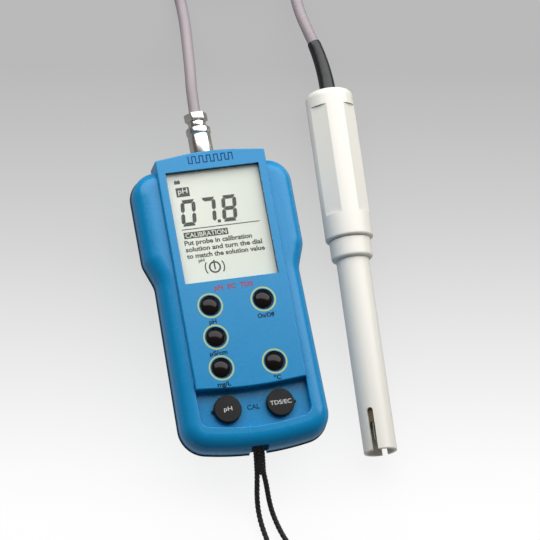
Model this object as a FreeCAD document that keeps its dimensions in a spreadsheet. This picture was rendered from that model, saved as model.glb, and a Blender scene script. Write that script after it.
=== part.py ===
import FreeCAD, Part
import math
import os

from FreeCAD import Placement, Rotation, Vector

# A handheld water quality meter and its probe, lying side by side on a table and joined by a lead.
# Millimetres. The table is z = 0, +Z is up, +Y points to the connector end of the meter.
# Meter pieces are drawn in the meter's own frame: the middle of the display, on the raised panel.
# Probe pieces are drawn along their own axis: z = 0 at the open tip, -Y is up once it lies down.

doc = FreeCAD.newDocument("WaterQualityProbe")

# ---------------------------------------------------------------- driving dimensions
SIZES = {
    # where the meter and the probe lie
    "meter_x": -21.05, "meter_y": 26.2, "panel_z": 36.0,
    "probe_x": 44.4, "probe_yaw": -2.5, "probe_length": 182.8, "probe_tip_y": 90.3,
    # case
    "case_half": 39.2, "waist_half": 35.0, "base_half": 36.4, "wall": 2.4,
    "panel_half": 27.0, "panel_step": 2.0, "shoulder_round": 7.5, "seam_depth": 14.0,
    "gasket_thick": 0.8, "gasket_proud": 0.45, "back_inset": 0.7, "back_round": 2.5, "back_draft": 17.0,
    "roof_depth": 7.8, "recess_depth": 5.6,
    # display
    "window_w": 46.0, "window_l": 56.0, "window_sunk": 1.5, "pane_thick": 1.2, "pane_lap": 2.0,
    "glass_thick": 2.4, "glass_gap": 0.3, "board_depth": 11.6, "board_thick": 1.6,
    # buttons
    "button_r": 4.2, "button_gap": 0.2, "button_rise": 1.0,
    "well_r": 5.1, "well_depth": 1.1, "button_column": 13.0,
    # calibration knobs
    "knob_r": 6.7, "knob_top": 2.6, "knob_x": 12.9, "knob_y": -90.5, "knob_skirt": 0.3,
    "pot_shaft_r": 3.0, "pot_side": 9.6,
    # battery compartment, on the back
    "battery_w": 26.5, "battery_l": 46.0, "battery_d": 17.2,
    "door_half": 15.6, "door_rail": 1.5, "door_thick": 1.1, "door_top_y": -36.0, "door_gap": 0.2,
    # case screws
    "boss_r": 3.0, "screw_r": 1.45, "screw_head_r": 2.5,
    # connector
    "jack_depth": 16.0, "jack_r": 4.4, "jack_bore": 3.5, "coupling_r": 5.6, "collar_r": 5.95,
    "plug_neck_r": 4.3, "clamp_hex_r": 5.8,
    # probe
    "handle_r": 11.7, "handle_l": 76.0, "handle_round": 3.6, "handle_wall": 2.6,
    "flat_depth": 0.97, "flat_start": 8.6, "flat_l": 55.5,
    "collar_ring_r": 10.1, "collar_ring_l": 10.2, "shaft_r": 8.05, "shaft_bore": 6.45,
    "slot_w": 3.0, "slot_l": 21.0, "slot_turn": 30.0, "carrier_depth": 14.0,
    "boot_r": 3.65, "boot_l": 27.0, "boot_bend": 16.0,
    # lead and wrist strap
    "lead_d": 5.6, "coil_mean": 28.5, "strap_d": 2.8,
}

sheet = doc.addObject("Spreadsheet::Sheet", "dim")
for line, (alias, number) in enumerate(SIZES.items(), start=1):
    sheet.set("A%d" % line, alias)
    sheet.set("B%d" % line, str(number))
    sheet.setAlias("B%d" % line, alias)
doc.recompute()


def size(alias):
    """A driving dimension, read back from the sheet."""
    return float(sheet.get(alias))


# ---------------------------------------------------------------- building helpers
UPRIGHT = Rotation()
ALONG_X = Rotation(Vector(0, 1, 0), 90)
ALONG_Y = Rotation(Vector(1, 0, 0), -90)
nodes = []


def dim(text):
    """Turns 'wall * 2' into an expression on the sheet's cells."""
    words = []
    for word in text.replace("(", " ( ").replace(")", " ) ").split():
        words.append("dim." + word if word in SIZES else word)
    return " ".join(words)


def bind(item, **expressions):
    for name, text in expressions.items():
        item.setExpression(name.replace("__", "."), dim(str(text)))
    return item


def at(item, x="0", y="0", z="0", turn=UPRIGHT):
    """Puts an item at a place given by expressions on the sheet."""
    item.Placement = Placement(Vector(0, 0, 0), turn)
    return bind(item, Placement__Base__x=x, Placement__Base__y=y, Placement__Base__z=z)


def box(width, length, height, x, y, z):
    """A box centred on x and y, standing on z."""
    item = doc.addObject("Part::Box", "Block")
    bind(item, Length=width, Width=length, Height=height)
    return at(item, "%s - (%s) / 2" % (x, width), "%s - (%s) / 2" % (y, length), z)


def rod(radius, length, x="0", y="0", z="0", turn=UPRIGHT):
    item = doc.addObject("Part::Cylinder", "Rod")
    bind(item, Radius=radius, Height=length)
    return at(item, x, y, z, turn)


def prism(radius, length, x="0", y="0", z="0", turn=UPRIGHT):
    """A hexagonal bar, such as a nut's outside."""
    item = doc.addObject("Part::Prism", "Hexagon")
    item.Polygon = 6
    bind(item, Circumradius=radius, Height=length)
    return at(item, x, y, z, turn)


def fuse(*pieces):
    item = doc.addObject("Part::MultiFuse", "Joined")
    item.Shapes = list(pieces)
    item.Refine = True
    return item


def cut(base, *tools):
    item = doc.addObject("Part::Cut", "Trimmed")
    item.Base = base
    item.Tool = tools[0] if len(tools) == 1 else fuse(*tools)
    return item


def common(*pieces):
    item = doc.addObject("Part::MultiCommon", "Shared")
    item.Shapes = list(pieces)
    return item


def group(*pieces):
    """Separate solids of one kind, kept in one sub-part."""
    item = doc.addObject("Part::Compound", "Set")
    item.Links = list(pieces)
    return item


def rounded(base, radius, wanted):
    """Fillets the edges of base that the wanted test picks."""
    doc.recompute()
    item = doc.addObject("Part::Fillet", "Rounded")
    item.Base = base
    item.Edges = [(n, radius, radius) for n, edge in enumerate(base.Shape.Edges, start=1) if wanted(edge)]
    return item


def edge_at(height, axis="z", slack=0.01):
    """A test for edges that lie wholly at one height along an axis."""
    low = axis.upper() + "Min"
    high = axis.upper() + "Max"

    def test(edge):
        limits = edge.BoundBox
        return abs(getattr(limits, low) - height) < slack and abs(getattr(limits, high) - height) < slack

    return test


def rim_at(height, radius):
    """A test for the round edge of one radius at one height."""
    at_height = edge_at(height)
    return lambda edge: at_height(edge) and abs(edge.Curve.Radius - radius) < 0.01


def corner_path(corners):
    """Lines and tangent arcs round a closed polygon of (x, y, radius) corners."""
    count = len(corners)
    ends = []
    for n, (x, y, radius) in enumerate(corners):
        here = Vector(x, y, 0)
        before = Vector(*corners[n - 1][:2], 0) - here
        after = Vector(*corners[(n + 1) % count][:2], 0) - here
        before.normalize()
        after.normalize()
        turn = math.pi - before.getAngle(after)
        reach = radius * math.tan(turn / 2)
        inward = before + after
        inward.normalize()
        middle = here + inward * (radius / math.cos(turn / 2) - radius)
        ends.append((here + before * reach, middle, here + after * reach))
    pieces = []
    for n, (start, middle, end) in enumerate(ends):
        previous = ends[n - 1][2]
        if (start - previous).Length > 1e-6:
            pieces.append(Part.LineSegment(previous, start))
        if (end - start).Length > 1e-6:
            pieces.append(Part.Arc(start, middle, end))
    return pieces


def outline(name, half):
    """A closed sketch from its right half, listed top to bottom, mirrored about x = 0."""
    left = [(-x, y, radius) for x, y, radius in reversed(half) if x > 1e-6]
    sketch = doc.addObject("Sketcher::SketchObject", name)
    for piece in corner_path(half + left):
        sketch.addGeometry(piece, False)
    return sketch


def inset(sketch, amount):
    item = doc.addObject("Part::Offset2D", "Inset")
    item.Source = sketch
    item.Fill = False
    bind(item, Value="0 - (%s)" % amount)
    return item


def extrude(profile, bottom, top):
    """A solid from a closed profile, between two heights."""
    item = doc.addObject("Part::Extrusion", "Slab")
    item.Base = profile
    item.DirMode = "Custom"
    item.Dir = Vector(0, 0, 1)
    item.Solid = True
    bind(item, LengthFwd="(%s) - (%s)" % (top, bottom))
    return at(item, z=bottom)


def narrowed(profile, top, depth):
    """A solid that narrows downwards from a closed profile, at the back's draft."""
    item = doc.addObject("Part::Extrusion", "Wedge")
    item.Base = profile
    item.DirMode = "Custom"
    item.Dir = Vector(0, 0, -1)
    item.Solid = True
    bind(item, LengthFwd=depth, TaperAngle="0 - back_draft")
    return at(item, z=top)


def body_sketch(body, role, profile):
    """A closed sketch of straight edges on one of a body's own planes."""
    plane = [item for item in body.Origin.OriginFeatures if item.Role == role][0]
    sketch = body.newObject("Sketcher::SketchObject", body.Name + "Profile")
    sketch.AttachmentSupport = [(plane, "")]
    sketch.MapMode = "FlatFace"
    for start, end in zip(profile, profile[1:] + profile[:1]):
        sketch.addGeometry(Part.LineSegment(Vector(*start, 0), Vector(*end, 0)), False)
    return sketch


def turned(name, profile):
    """A body turned about its own Z axis from (radius, height) corners."""
    body = doc.addObject("PartDesign::Body", name)
    sketch = body_sketch(body, "XZ_Plane", profile)
    turn = body.newObject("PartDesign::Revolution", name + "Turn")
    turn.Profile = sketch
    turn.ReferenceAxis = (sketch, ["V_Axis"])
    turn.Angle = 360
    return body


def eased(body, radius, wanted, kind="Fillet"):
    """Rounds or bevels a body's own edges."""
    doc.recompute()
    last = body.Tip
    edges = ["Edge%d" % n for n, edge in enumerate(last.Shape.Edges, start=1) if wanted(edge)]
    feature = body.newObject("PartDesign::" + kind, kind)
    feature.Base = (last, edges)
    if kind == "Fillet":
        feature.Radius = radius
    else:
        feature.Size = radius
    body.Tip = feature
    return body


def keep(label, item):
    item.Label = label
    nodes.append(item)
    return item


def on_meter(label, item, x="0", y="0", z="0", turn=UPRIGHT):
    """A sub-part placed in the meter's frame."""
    at(item, "meter_x + (%s)" % x, "meter_y + (%s)" % y, "panel_z + (%s)" % z, turn)
    return keep(label, item)


def on_probe(label, item):
    """A sub-part placed along the probe's axis: its z runs from the tip to the lead."""
    yaw = math.radians(size("probe_yaw"))
    tip = size("probe_tip_y")
    lying = Rotation(Vector(0, 0, 1), size("probe_yaw")).multiply(ALONG_Y)
    item.Placement = Placement(
        Vector(size("probe_x") + tip * math.sin(yaw), -tip * math.cos(yaw), size("handle_r")), lying)
    return keep(label, item)


# ---------------------------------------------------------------- case
BUTTONS = [
    ("button_ph", -1, -40.0),
    ("button_power", 1, -40.0),
    ("button_conductivity", -1, -55.7),
    ("button_dissolved_solids", -1, -71.0),
    ("button_temperature", 1, -71.0),
]
BOSSES = [(-27.6, 13.0), (27.6, 13.0), (-22.5, -97.5), (22.5, -97.5)]
STRAP_BAR_Y = -107.4
STRAP_BAR_Z = -8.4

case_outline = outline("CaseOutline", [
    (size("case_half"), 31.0, 12.0),
    (size("case_half"), -13.0, 10.0),
    (size("waist_half"), -24.5, 12.0),
    (size("base_half"), -106.9, 13.0),
    (0.0, -113.3, 140.0),
])
panel_outline = outline("PanelOutline", [
    (0.0, 37.6, 120.0),
    (size("panel_half"), 34.6, 0.8),
    (size("panel_half"), -80.0, 0.4),
    (0.0, -82.2, 200.0),
])
recess_outline = outline("RecessOutline", [
    (size("panel_half"), -77.0, 0.4),
    (size("panel_half"), -97.9, 4.5),
    (0.0, -101.4, 90.0),
])


def jack_hole():
    return rod("jack_r", "12", y="28", z="0 - jack_depth", turn=ALONG_Y)


def strap_slot():
    return box("8.4", "12", "13.2", "0", "-109.5", "-18.2")


def strap_bar_hole():
    return rod("1.1", "11.2", "-5.6", str(STRAP_BAR_Y), str(STRAP_BAR_Z), ALONG_X)


def recess_lip(edge):
    """Picks the recess's edge on the shoulders, below the raised panel."""
    limits = edge.BoundBox
    inside = max(-limits.XMin, limits.XMax) < size("panel_half") + 0.01 and limits.YMin > -102
    return edge_at(-size("panel_step"))(edge) and inside and limits.YMax < -76


def front_shell():
    form = extrude(case_outline, "0 - seam_depth", "0 - panel_step")
    form = rounded(form, size("shoulder_round"), edge_at(-size("panel_step")))
    shoulders = cut(form, extrude(recess_outline, "0 - recess_depth", "1"))
    shoulders = rounded(shoulders, 0.5, recess_lip)
    block = rounded(extrude(panel_outline, "0 - seam_depth", "0"), 0.7, edge_at(0.0))
    shell = cut(
        fuse(shoulders, block),
        extrude(inset(case_outline, "wall"), "0 - seam_depth - 1", "0 - roof_depth"),
        box("51.2", "110.6", "seam_depth - wall + 1", "0", "-22.7", "0 - seam_depth - 1"))
    bosses = [rod("boss_r", "7.2", x, y, "0 - seam_depth") for x, y in BOSSES]
    strap_block = common(box("12.4", "8.2", "10", "0", "-105.9", "0 - seam_depth"), form)
    shell = fuse(shell, *bosses, strap_block)
    openings = [
        box("window_w", "window_l", "6", "0", "0", "-4"),
        box("window_w + 2 * pane_lap", "window_l + 2 * pane_lap", "2", "0", "0", "0 - window_sunk - 2"),
        jack_hole(), strap_slot(), strap_bar_hole(),
    ]
    for _, side, y in BUTTONS:
        column = "%d * button_column" % side
        openings.append(rod("well_r", "3", column, y, "0 - well_depth"))
        openings.append(rod("button_r + button_gap", "6", column, y, "-5"))
    for side in (-1, 1):
        openings.append(rod("pot_shaft_r + 0.15", "6", "%d * knob_x" % side, "knob_y", "-10"))
    for x, y in BOSSES:
        openings.append(rod("screw_r", "5.5", x, y, "0 - seam_depth - 0.5"))
    return cut(shell, *openings)


def back_outside():
    """The back shell's outer form, before it is hollowed."""
    top = "0 - seam_depth - gasket_thick"
    base = edge_at(-size("panel_z"))
    body = narrowed(inset(case_outline, "back_inset"), top, "panel_z - seam_depth - gasket_thick")
    end = extrude(inset(panel_outline, "back_inset"), "0 - panel_z", top)
    return fuse(rounded(body, size("back_round"), base), rounded(end, size("back_round"), base))


def door_channel(gap):
    """The battery door's form: a plate between two rails, open at the strap end; gap widens it."""
    length = "90"
    middle = "door_top_y + %g - 45" % gap
    plate = box("2 * (door_half - door_rail) + %g" % (2 * gap), length,
                "door_thick + 0.6", "0", middle, "0 - panel_z - 0.2")
    flange = box("2 * door_half + %g" % (2 * gap), length,
                 "door_thick + %g" % (2 * gap), "0", middle,
                 "0 - panel_z + door_thick + 0.2 - %g" % gap)
    return fuse(plate, flange)


def back_shell():
    hollow = narrowed(inset(case_outline, "back_inset + wall"), "0 - seam_depth - gasket_thick + 0.01",
                      "panel_z - seam_depth - gasket_thick - wall")
    end_hollow = box("48", "12.6", "30", "0", "26.3", "0 - panel_z + wall")
    shell = cut(back_outside(), hollow, end_hollow)
    top = "panel_z - seam_depth - gasket_thick"
    cage = box("34.4", "58.5", top + " - wall", "0", "-63.25", "0 - panel_z + wall")
    bosses = [rod("boss_r + 0.4", "panel_z - seam_depth - 2", x, y, "0 - panel_z + 2") for x, y in BOSSES]
    shell = fuse(shell, cage, *bosses)
    openings = [
        box("battery_w + 0.7", "52.4", "battery_d + 2", "0", "-64.8", "0 - panel_z + wall - 1.4"),
        door_channel(size("door_gap")),
        jack_hole(), strap_slot(),
    ]
    for x, y in BOSSES:
        openings.append(rod("screw_r + 0.15", "30", x, y, "0 - panel_z - 1"))
        openings.append(rod("screw_head_r + 0.25", "6", x, y, "0 - panel_z - 1"))
    return cut(shell, *openings)


def shell_gasket():
    low = "0 - seam_depth - gasket_thick"
    high = "0 - seam_depth"
    outside = fuse(extrude(inset(case_outline, "0 - gasket_proud"), low, high),
                   extrude(inset(panel_outline, "back_inset"), low, high))
    inside = extrude(inset(case_outline, "wall + back_inset"), low + " - 1", high + " + 1")
    end_inside = box("48", "112", "3", "0", "-23.4", low + " - 1")
    bosses = [rod("boss_r + 0.5", "3", x, y, low + " - 1") for x, y in BOSSES]
    return cut(outside, inside, end_inside, jack_hole(), strap_slot(), *bosses)


def battery_door():
    door = common(back_outside(), door_channel(0))
    grip = [box("9", "0.8", "0.5", "0", -44 - 2 * n, "0 - panel_z - 0.1") for n in range(5)]
    return cut(door, *grip)


def case_screws():
    screws = []
    for x, y in BOSSES:
        head = rod("screw_head_r", "2", x, y, "0 - panel_z + 3")
        cross = [box("3.4", "0.7", "1", x, y, "0 - panel_z + 2.5"),
                 box("0.7", "3.4", "1", x, y, "0 - panel_z + 2.5")]
        shank = rod("screw_r", "21.6", x, y, "0 - panel_z + 5")
        screws.append(cut(fuse(head, shank), *cross))
    return group(*screws)


on_meter("front_shell", front_shell())
on_meter("back_shell", back_shell())
on_meter("shell_gasket", shell_gasket())
on_meter("battery_door", battery_door())
on_meter("case_screws", case_screws())
on_meter("strap_bar", rod("1.1", "11.2"), "-5.6", str(STRAP_BAR_Y), str(STRAP_BAR_Z), ALONG_X)

# ---------------------------------------------------------------- display and electronics
BOARD_TOP = "0 - board_depth"


def display_frame():
    frame = box("50.8", "63.2", "board_depth - 3", "0", "0", BOARD_TOP)
    return cut(
        frame,
        box("window_w", "window_l + 1", "12", "0", "0", "-13"),
        box("48.8", "58.8", "4", "0", "0", "-5.4"),
        box("15", "7", "3.4", "0", "29.5", "0 - board_depth - 0.4"),
        *[rod("boss_r + 0.2", "8", x, y, "-14") for x, y in BOSSES[:2]])


def main_board():
    board = box("63", "123.5", "board_thick", "0", "-37.25", "0 - board_depth - board_thick")
    return cut(board, *[rod("boss_r + 1", "6", x, y, "-15") for x, y in BOSSES])


def board_chips():
    places = [(0, -6, 14, 14), (-16, -8, 7, 10), (15, 4, 8, 6), (2, 14, 10, 5), (0, -60, 9, 12), (22, -56, 5, 8)]
    return group(*[box(w, l, "1.7", x, y, BOARD_TOP) for x, y, w, l in places])


def tact_switches():
    switches = []
    for _, side, y in BUTTONS:
        column = "%d * button_column" % side
        case = box("6.2", "6.2", "3.4", column, y, BOARD_TOP)
        plunger = rod("1.7", "5.4", column, y, BOARD_TOP)
        switches.append(fuse(case, plunger))
    return group(*switches)


on_meter("display_window", box("window_w + 2 * pane_lap - 0.2", "window_l + 2 * pane_lap - 0.2", "pane_thick",
                               "0", "0", "0"),
         "(0.2 - window_w) / 2 - pane_lap", "(0.2 - window_l) / 2 - pane_lap", "0 - window_sunk - pane_thick")
on_meter("display_glass", box("48.6", "58.6", "glass_thick", "0", "0", "0"),
         "-24.3", "-29.3", "0 - window_sunk - pane_thick - glass_gap - glass_thick")
on_meter("display_frame", display_frame())
on_meter("contact_strip", box("44", "2.2", "6.2", "0", "0", "0"), "-22", "-28.3", BOARD_TOP)
on_meter("main_board", main_board())
on_meter("board_chips", board_chips())
on_meter("tact_switches", tact_switches())

# ---------------------------------------------------------------- buttons and knobs
for label, side, y in BUTTONS:
    cap_r = size("button_r")
    cap = turned("Cap" + label, [
        (0, -5.1), (1.9, -5.1), (1.9, -3.5), (5.2, -3.5), (5.2, -2.7),
        (cap_r, -2.7), (cap_r, size("button_rise")), (0, size("button_rise"))])
    cap = eased(cap, 1.9, edge_at(size("button_rise")))
    on_meter(label, cap, "%d * button_column" % side, y)


def knob(label, side):
    radius = size("knob_r")
    shaft = size("pot_shaft_r")
    top = -size("knob_top")
    skirt = -size("recess_depth") + size("knob_skirt")
    cap = turned("Turn" + label, [
        (0, -9.6), (shaft, -9.6), (shaft, skirt), (radius, skirt), (radius, top), (0, top)])
    cap = eased(cap, 0.5, edge_at(top), "Chamfer")
    pointer = box("2", "1.3", "1.6", "%d * (knob_r + 0.1)" % side, "0", "0 - recess_depth + knob_skirt")
    on_meter(label, fuse(cap, pointer), "%d * knob_x" % side, "knob_y")


def trimmer(label, side):
    body = box("pot_side", "pot_side", "3.2", "%d * knob_x" % side, "knob_y", BOARD_TOP)
    bore = rod("pot_shaft_r + 0.05", "3", "%d * knob_x" % side, "knob_y", "-9.9")
    on_meter(label, cut(body, bore))


for name, side in (("ph", -1), ("conductivity", 1)):
    knob("knob_" + name, side)
    trimmer("trimmer_" + name, side)

# ---------------------------------------------------------------- battery
def battery():
    body = box("battery_w", "battery_l", "battery_d", "0", "-67.7", "0 - panel_z + wall + 0.3")
    studs = [rod(radius, "2.6", x, "-44.9", "-24.6", ALONG_Y) for x, radius in ((-6.4, 2.9), (6.4, 3.9))]
    return fuse(body, *studs)


on_meter("battery", battery())
on_meter("battery_clip", box("25", "2.6", "12.5", "0", "0", "0"), "-12.5", "-42.3", "-30.8")

# ---------------------------------------------------------------- connector
def along_jack(label, item):
    """Connector pieces are drawn along z, which runs out of the meter's end."""
    on_meter(label, item, z="0 - jack_depth", turn=ALONG_Y)


jack_r = size("jack_r")
along_jack("jack", turned("JackBody", [
    (0, 26), (jack_r, 26), (jack_r, 36.9), (5.6, 36.9), (5.6, 37.9), (jack_r, 37.9),
    (jack_r, 44.5), (size("jack_bore"), 44.5), (size("jack_bore"), 31), (0, 31)]))
along_jack("jack_nut", cut(prism("6.6", "2.6", z="29.4"), rod("jack_r", "4", z="29")))
along_jack("jack_washer", cut(rod("6.4", "0.6", z="32"), rod("jack_r", "2", z="31")))
along_jack("jack_pins", group(*[
    rod("0.4", "11.5", 1.8 * math.cos(n * math.pi * 0.4), 1.8 * math.sin(n * math.pi * 0.4), "31")
    for n in range(5)]))
along_jack("plug_body", turned("PlugBody", [
    (0, 44), (2.7, 44), (2.7, 38.6), (3.4, 38.6), (3.4, 44.6), (4.35, 44.6), (4.35, 47), (3.6, 47),
    (3.6, 53.6), (size("plug_neck_r"), 53.6), (size("plug_neck_r"), 56.6), (0, 56.6)]))
coupling_r = size("coupling_r")
along_jack("coupling_nut", turned("CouplingNut", [
    (jack_r + 0.1, 38.3), (coupling_r, 38.3), (coupling_r, 49.2), (5.35, 49.2), (5.35, 49.6),
    (size("collar_r"), 49.6), (size("collar_r"), 53.4), (3.75, 53.4), (3.75, 47.2), (jack_r + 0.1, 47.2)]))
along_jack("clamp_nut", cut(prism("clamp_hex_r", "4", z="56.6"), rod("lead_d / 2", "2", z="58.6")))

# ---------------------------------------------------------------- probe
length = size("probe_length")
handle_r = size("handle_r")
handle_foot = length - size("handle_l")
bore_r = handle_r - size("handle_wall")
boot_r = size("boot_r")
spigot_r = size("shaft_r") - 0.25


def handle():
    top = length
    sleeve = turned("HandleSleeve", [
        (handle_r, handle_foot), (handle_r, top), (boot_r + 0.1, top),
        (boot_r + 0.1, top - 3), (bore_r, top - 3), (bore_r, handle_foot)])
    sleeve = eased(sleeve, size("handle_round"), rim_at(top, handle_r))
    sleeve = eased(sleeve, 1.2, rim_at(handle_foot, handle_r))
    flats = []
    for turn in (45, 135, 225, 315):
        flat = bind(doc.addObject("Part::Box", "Flat"), Length="4", Width="16", Height="flat_l")
        spin = Rotation(Vector(0, 0, 1), turn)
        corner = Vector(handle_r - size("flat_depth"), -8, top - size("flat_start") - size("flat_l"))
        flat.Placement = Placement(spin.multVec(corner), spin)
        flats.append(flat)
    return cut(sleeve, *flats)


def collar():
    foot = handle_foot - size("collar_ring_l")
    outside = size("collar_ring_r")
    ring = turned("CollarRing", [
        (spigot_r, foot), (outside, foot), (outside, handle_foot), (bore_r - 0.05, handle_foot),
        (bore_r - 0.05, handle_foot + 5.6), (spigot_r, handle_foot + 5.6)])
    ring = eased(ring, 1.6, rim_at(foot, outside))
    return eased(ring, 0.9, rim_at(handle_foot, outside))


def shaft():
    shoulder = handle_foot - size("collar_ring_l")
    tube = turned("ShaftTube", [
        (size("shaft_bore"), 0), (size("shaft_r"), 0), (size("shaft_r"), shoulder), (spigot_r, shoulder),
        (spigot_r, handle_foot + 5.6), (size("shaft_bore"), handle_foot + 5.6)])
    tube = eased(tube, 0.5, edge_at(0.0))
    turn = 90 - size("slot_turn")
    straight = size("slot_l") - size("slot_w") / 2
    spin = Rotation(Vector(0, 0, 1), -180 + turn)
    slit = bind(doc.addObject("Part::Box", "Slit"), Length="24", Width="slot_w", Height="slot_l - slot_w / 2 + 1")
    slit.Placement = Placement(spin.multVec(Vector(-12, -size("slot_w") / 2, -1)), spin)
    arch = bind(doc.addObject("Part::Cylinder", "Arch"), Radius="slot_w / 2", Height="24")
    arch.Placement = Placement(spin.multVec(Vector(-12, 0, straight)), spin.multiply(ALONG_X))
    return cut(tube, slit, arch)


def electrode_body():
    face = size("carrier_depth")
    radius = size("shaft_bore") - 0.1
    groove = radius - 1.0
    return turned("ElectrodeBody", [
        (0, face), (radius, face), (radius, 24), (groove, 24), (groove, 25.4), (radius, 25.4),
        (radius, 95), (groove, 95), (groove, 96.4), (radius, 96.4), (radius, 100), (0, 100)])


def seal_ring(height):
    item = doc.addObject("Part::Torus", "Ring")
    bind(item, Radius1="shaft_bore - 0.55", Radius2="0.5")
    return at(item, z=height)


def strain_relief():
    """A collared neck inside the handle's end, then a boot that bends sideways."""
    bend = size("boot_bend")
    radius = size("boot_l") / math.radians(bend)
    neck = fuse(rod("5", "2", z="probe_length - 5"), rod("boot_r", "5", z="probe_length - 5"))
    boot = doc.addObject("Part::Torus", "Boot")
    bind(boot, Radius2="boot_r", Angle3="boot_bend", Radius1="boot_l / (boot_bend * 0.017453293)")
    boot.Placement = Placement(Vector(-radius, 0, length), Rotation(Vector(1, 0, 0), 90))
    return fuse(neck, boot)


on_probe("probe_handle", handle())
on_probe("probe_collar", collar())
on_probe("probe_shaft", shaft())
on_probe("electrode_body", electrode_body())
on_probe("electrode_seals", group(seal_ring("24.7"), seal_ring("95.7")))
glass_stem = rod("2.2", "7", "1.6", "1.2", "7")
glass_bulb = doc.addObject("Part::Sphere", "Bulb")
at(bind(glass_bulb, Radius="2.9"), "1.6", "1.2", "6.6")
on_probe("ph_electrode", fuse(glass_stem, glass_bulb))
on_probe("reference_junction", group(rod("1.1", "1.2", "-3.9", "2.6", "12.8")))
on_probe("conductivity_pins", group(*[rod("0.6", "8.5", x, y, "5.5") for x, y in ((-4.4, -0.6), (-2.6, -4))]))
on_probe("temperature_sensor", group(rod("1.2", "8", "1.4", "-4.2", "6")))
on_probe("amplifier_board", group(box("14", "1.4", "50", "0", "0", "122")))
on_probe("amplifier_chips", group(*[box(w, "1.6", l, "0", "-1.5", z)
                                    for w, l, z in ((5, 5, 130), (8, 6, 142), (4, 4, 158))]))
on_probe("strain_relief", strain_relief())
on_probe("boot_ring", cut(rod("boot_r + 1.2", "0.8", z="probe_length"), rod("boot_r + 0.1", "4", z="probe_length - 1")))

# ---------------------------------------------------------------- lead and wrist strap
COIL_CENTRE = (15.5, 193.0)
METER_LEAD = [
    (-21.05, 86.8, 20.0), (-20.7, 98.0, 19.6), (-18.9, 110.0, 17.2), (-16.9, 124.0, 12.0),
    (-14.8, 138.0, 6.4), (-14.2, 149.5, 3.1), (-15.0, 160.0, 2.8), (-16.5, 170.0, 2.8),
    (-17.6, 179.0, 2.8),
]
PROBE_LEAD = [
    (45.86, 119.2, 11.7), (43.6, 128.6, 11.0), (42.3, 139.0, 8.8), (42.6, 149.5, 6.7),
    (44.2, 159.5, 6.3), (45.8, 169.5, 7.4), (46.7, 179.0, 8.4),
]
STRAP_LOOP = [
    (-21.8, -92.9, 15.3), (-22.1, -97.5, 12.2), (-22.2, -102.5, 7.0), (-21.9, -109.0, 2.4),
    (-21.0, -118.0, 1.4), (-18.4, -130.0, 1.4), (-11.6, -142.0, 1.4), (-1.0, -151.0, 1.4),
    (11.0, -156.4, 1.4), (21.5, -158.4, 1.4), (30.5, -158.0, 1.4), (37.0, -153.0, 1.4),
    (37.6, -145.0, 1.4), (32.4, -139.0, 1.4), (24.4, -138.0, 1.4), (14.0, -140.2, 1.4),
    (3.5, -140.0, 1.4), (-5.2, -134.0, 1.4), (-11.4, -124.0, 1.4), (-14.8, -112.0, 1.4), (-16.2, -104.0, 4.4),
    (-17.4, -98.2, 11.0), (-18.7, -92.9, 15.3),
]


def route(points):
    """Straight runs joined by tangent arcs, each as large as its two runs allow."""
    spots = [Vector(*point) for point in points]
    pieces = []
    start = spots[0]
    radii = []
    for before, here, after in zip(spots, spots[1:], spots[2:]):
        back = before - here
        ahead = after - here
        reach = 0.45 * min(back.Length, ahead.Length)
        half_turn = (math.pi - back.getAngle(ahead)) / 2
        radius = reach / math.tan(half_turn)
        back.normalize()
        ahead.normalize()
        inward = back + ahead
        inward.normalize()
        middle = here + inward * (radius / math.cos(half_turn) - radius)
        pieces.append(Part.LineSegment(start, here + back * reach))
        pieces.append(Part.Arc(here + back * reach, middle, here + ahead * reach))
        start = here + ahead * reach
        radii.append(radius)
    pieces.append(Part.LineSegment(start, spots[-1]))
    return Part.Wire([piece.toShape() for piece in pieces]), radii


def tube(label, points, diameter):
    path, radii = route(points)
    start = Vector(*points[0])
    ring = Part.Wire(Part.Circle(start, Vector(*points[1]) - start, diameter / 2).toShape())
    item = doc.addObject("Part::Feature", label)
    item.Shape = path.makePipeShell([ring], True, True)
    swept = math.pi * diameter ** 2 / 4 * path.Length
    print("%s: %.0f mm long, volume ratio %.3f, tightest radius %.1f diameters" % (
        label, path.Length, item.Shape.Volume / swept, min(radii) / diameter))
    return keep(label, item)


def lead_coil():
    """The outside of the wound lead: three turns below, two nested above."""
    lead = size("lead_d")
    mean = size("coil_mean")
    outer = mean + 1.4 * lead
    inner = mean - 1.6 * lead
    high = lead * (1 + math.sqrt(0.75))
    ring = turned("CoilRing", [
        (inner, 0), (outer, 0), (outer, lead), (outer - lead / 2, high), (inner + lead / 2, high), (inner, lead)])
    ring.Placement = Placement(Vector(*COIL_CENTRE, 0), Rotation())
    return ring


def coil_tie():
    lead = size("lead_d")
    reach = size("coil_mean") - 0.1 * lead
    high = lead * (1 + math.sqrt(0.75)) + 1.2
    band = bind(doc.addObject("Part::Box", "Band"), Length="9", Width="lead_d * 3 + 2.4")
    band.Height = high
    band.Placement = Placement(
        Vector(COIL_CENTRE[0] - 4.5, COIL_CENTRE[1] + reach - band.Width.Value / 2, 0), Rotation())
    return cut(band, lead_coil())


def strap_sleeve():
    """The sewn end of the strap: it leaves the slot and slopes down."""
    start = Vector(size("meter_x"), size("meter_y") + STRAP_BAR_Y - 1.3, size("panel_z") + STRAP_BAR_Z - 0.6)
    end = Vector(-20.25, -92.9, 15.3)
    sleeve = bind(doc.addObject("Part::Box", "Sleeve"), Length="2 * strap_d + 0.2", Width="strap_d + 0.2")
    sleeve.Height = (end - start).Length
    slope = Rotation(Vector(1, 0, 0), Vector(0, 0, 0), end - start, "ZXY")
    corner = Vector(-size("strap_d") - 0.1, -size("strap_d") / 2 - 0.1, 0)
    sleeve.Placement = Placement(start + slope.multVec(corner), slope)
    return sleeve


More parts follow.
